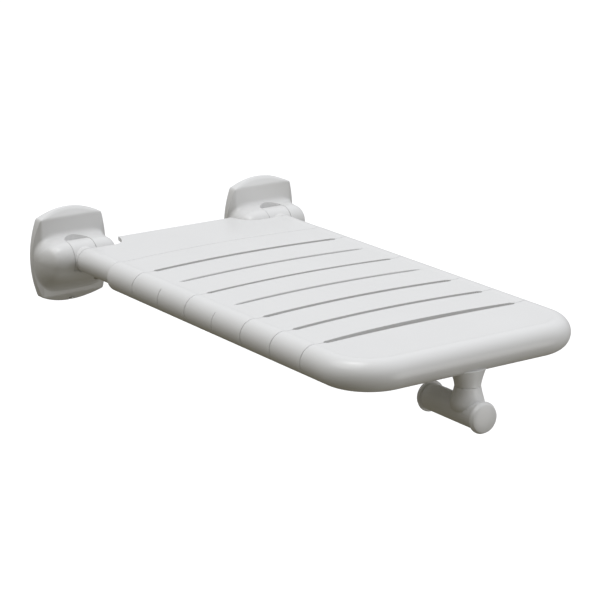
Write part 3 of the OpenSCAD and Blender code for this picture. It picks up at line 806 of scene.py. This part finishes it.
def mouldedMaterial(name, look):
    # the moulded surface group with one finish's values, and its gloss on the shader itself
    material, tree, shader, place = startMaterial(name)
    surface = tree.nodes.new("ShaderNodeGroup")
    surface.node_tree = moulded
    tree.links.new(place, surface.inputs["Vector"])
    surface.inputs["Color"].default_value = (*look["color"], 1)
    for label in ("Drift", "Grain Scale", "Roughness", "Rubbing"):
        surface.inputs[label].default_value = look[label]
    tree.links.new(surface.outputs["Color"], shader.inputs["Base Color"])
    tree.links.new(surface.outputs["Roughness"], shader.inputs["Roughness"])
    bumpFrom(tree, shader, surface.outputs["Height"], look["depth"], look["bump"])
    shader.inputs["IOR"].default_value = look["ior"]
    shader.inputs["Coat Weight"].default_value = look["coat"]
    shader.inputs["Coat Roughness"].default_value = look["coatRoughness"]
    return material


whiteNylon = {
    "color": (0.80, 0.80, 0.80),
    "Drift": 0.04,
    "Grain Scale": 260.0,
    "Roughness": 0.31,
    "Rubbing": 0.01,
    "depth": 0.0001,
    "bump": 0.05,
    "ior": 1.53,
    "coat": 0.3,
    "coatRoughness": 0.18,
}
naturalAcetal = {
    "color": (0.70, 0.67, 0.58),
    "Drift": 0.03,
    "Grain Scale": 1100.0,
    "Roughness": 0.45,
    "Rubbing": 0.15,
    "depth": 0.0001,
    "bump": 0.15,
    "ior": 1.48,
    "coat": 0.0,
    "coatRoughness": 0.18,
}
stopRubber = {
    "color": (0.030, 0.030, 0.032),
    "Drift": 0.2,
    "Grain Scale": 1600.0,
    "Roughness": 0.78,
    "Rubbing": 0.10,
    "depth": 0.0002,
    "bump": 0.35,
    "ior": 1.52,
    "coat": 0.0,
    "coatRoughness": 0.18,
}
brushedSteel = {
    "color": (0.62, 0.62, 0.60),
    "roughness": 0.30,
    "lineScale": (60.0, 2600.0, 60.0),
    "bump": 0.10,
    "depth": 0.00005,
}


def brushedMaterial(name, look):
    # drawn lines round the tube: noise squeezed along one way, into roughness and height
    material, tree, shader, place = startMaterial(name)
    stretch = tree.nodes.new("ShaderNodeMapping")
    stretch.inputs["Scale"].default_value = look["lineScale"]
    tree.links.new(place, stretch.inputs["Vector"])
    lines = noise(tree, stretch.outputs["Vector"], 1.0, 3.0, 0.6)
    cloud = noise(tree, place, 40.0, 3.0)
    drawn = mapRange(tree, lines, 0.2, 0.8, look["roughness"] - 0.08, look["roughness"] + 0.10)
    rough = arithmetic(tree, "ADD", drawn, arithmetic(tree, "MULTIPLY", cloud, 0.06))
    tree.links.new(rough, shader.inputs["Roughness"])
    ramp = tree.nodes.new("ShaderNodeMix")
    ramp.data_type = "RGBA"
    tree.links.new(lines, ramp.inputs["Factor"])
    low = tuple(c * 0.82 for c in look["color"])
    ramp.inputs["A"].default_value = (*low, 1)
    ramp.inputs["B"].default_value = (*look["color"], 1)
    tree.links.new(ramp.outputs["Result"], shader.inputs["Base Color"])
    shader.inputs["Metallic"].default_value = 1.0
    bumpFrom(tree, shader, lines, look["depth"], look["bump"])
    return material


nylon = mouldedMaterial("whiteNylon", whiteNylon)
finishes = {
    "nylon": nylon,
    "steel": brushedMaterial("brushedSteel", brushedSteel),
    "bush_plastic": mouldedMaterial("naturalAcetal", naturalAcetal),
    "stop_rubber": mouldedMaterial("stopRubber", stopRubber),
}
for piece in nylonPieces:
    piece.data.materials.clear()
    piece.data.materials.append(nylon)
    level = piece.modifiers.new("flatFaces", "WEIGHTED_NORMAL")  # broad flats stay flat up to their rims
    level.keep_sharp = True
    level.weight = 80
slotOf = {part["node"]: part["material_slot"] for part in frame["record"]["subparts"]}
for name, obj in nodes.items():
    finish = finishes[slotOf[name]]
    for place in obj.material_slots:
        place.material = finish
    if not obj.material_slots:
        obj.data.materials.append(finish)
print("materials placed")

stage = {
    "floorZ": -0.85,
    "floorSize": 40.0,
    "floorColor": (0.93, 0.93, 0.93),
    "floorGlow": 0.25,
    "skyFrom": -0.15,
    "skyTo": 0.9,
    "skyLean": (0.35, 0.06),
    "sky": (0.985, 1.0, 1.03),
    "ground": (0.135, 0.125, 0.095),
    "key": 0.76,
    "keyFrom": (-0.5, 0.2, 1.0),
    "keyAngle": 50.0,
    "softBox": 2.6,
    "softBoxPlace": (-0.25, -0.15, 1.5),
    "softBoxSize": 0.55,
    "fill": 5.0,
    "fillPlace": (0.9, -2.1, -0.35),
    "fillSize": 1.2,
    "lightTarget": (0, -0.3, 0),
}


def makeFloor():
    # one square far below the seat, pale and slightly glowing
    half = stage["floorSize"] / 2
    corners = np.array([(-half, -half), (half, -half), (half, half), (-half, half)])
    mesh = bpy.data.meshes.new("floor")
    mesh.from_pydata([(float(a), float(b), stage["floorZ"]) for a, b in corners], [], [(0, 1, 2, 3)])
    floor = bpy.data.objects.new("floor", mesh)
    bpy.context.collection.objects.link(floor)
    material, tree, shader, place = startMaterial("paleFloor")
    cloud = noise(tree, place, 1.5, 2.0)
    ramp = tree.nodes.new("ShaderNodeMix")
    ramp.data_type = "RGBA"
    tree.links.new(cloud, ramp.inputs["Factor"])
    ramp.inputs["A"].default_value = (*[c * 0.99 for c in stage["floorColor"]], 1)
    ramp.inputs["B"].default_value = (*stage["floorColor"], 1)
    tree.links.new(ramp.outputs["Result"], shader.inputs["Base Color"])
    shader.inputs["Roughness"].default_value = 0.9
    shader.inputs["Emission Color"].default_value = (1, 1, 1, 1)
    shader.inputs["Emission Strength"].default_value = stage["floorGlow"]
    # from underneath the floor is clear, so the underside can be looked at
    clear = tree.nodes.new("ShaderNodeBsdfTransparent")
    sides = tree.nodes.new("ShaderNodeMixShader")
    tree.links.new(tree.nodes.new("ShaderNodeNewGeometry").outputs["Backfacing"], sides.inputs["Fac"])
    tree.links.new(shader.outputs["BSDF"], sides.inputs[1])
    tree.links.new(clear.outputs["BSDF"], sides.inputs[2])
    tree.links.new(sides.outputs["Shader"], tree.nodes["Material Output"].inputs["Surface"])
    mesh.materials.append(material)
    floor.visible_diffuse = False
    floor.visible_glossy = False


def makeSky():
    # even light from above that falls off to a dim warm light from below
    world = bpy.data.worlds.new("softSky")
    bpy.context.scene.world = world
    world.use_nodes = True
    tree = world.node_tree
    back = tree.nodes["Background"]
    coords = tree.nodes.new("ShaderNodeTexCoord")
    split = tree.nodes.new("ShaderNodeSeparateXYZ")
    tree.links.new(coords.outputs["Generated"], split.inputs["Vector"])
    lean = arithmetic(tree, "MULTIPLY", split.outputs["Z"], 0.85)
    for axis, amount in zip("XY", stage["skyLean"]):
        lean = arithmetic(tree, "ADD", lean, arithmetic(tree, "MULTIPLY", split.outputs[axis], amount))
    height = mapRange(tree, lean, stage["skyFrom"], stage["skyTo"], 0.0, 1.0)
    ramp = tree.nodes.new("ShaderNodeMix")
    ramp.data_type = "RGBA"
    tree.links.new(height, ramp.inputs["Factor"])
    ramp.inputs["A"].default_value = (*stage["ground"], 1)
    ramp.inputs["B"].default_value = (*stage["sky"], 1)
    tree.links.new(ramp.outputs["Result"], back.inputs["Color"])
    back.inputs["Strength"].default_value = 1.0


def softLight(name, place, target, size, power):
    # a round area light turned from its place towards a target
    data = bpy.data.lights.new(name, "AREA")
    data.shape = "DISK"
    data.size = size
    data.energy = power
    lamp = bpy.data.objects.new(name, data)
    bpy.context.collection.objects.link(lamp)
    lamp.visible_camera = False
    lamp.location = place
    lamp.rotation_mode = "QUATERNION"
    lamp.rotation_quaternion = (Vector(target) - Vector(place)).to_track_quat("-Z", "Y")


def broadSun():
    # key light from high up, as wide as a ceiling of soft boxes
    data = bpy.data.lights.new("keyLight", "SUN")
    data.angle = math.radians(stage["keyAngle"])
    data.energy = stage["key"]
    lamp = bpy.data.objects.new("keyLight", data)
    bpy.context.collection.objects.link(lamp)
    lamp.rotation_mode = "QUATERNION"
    lamp.rotation_quaternion = (-Vector(stage["keyFrom"])).to_track_quat("-Z", "Y")


makeFloor()
makeSky()
broadSun()
softLight("fillLight", stage["fillPlace"], stage["lightTarget"], stage["fillSize"], stage["fill"])
softLight("softBox", stage["softBoxPlace"], stage["lightTarget"], stage["softBoxSize"], stage["softBox"])
bpy.context.scene.view_settings.view_transform = "Standard"
print("stage lit")
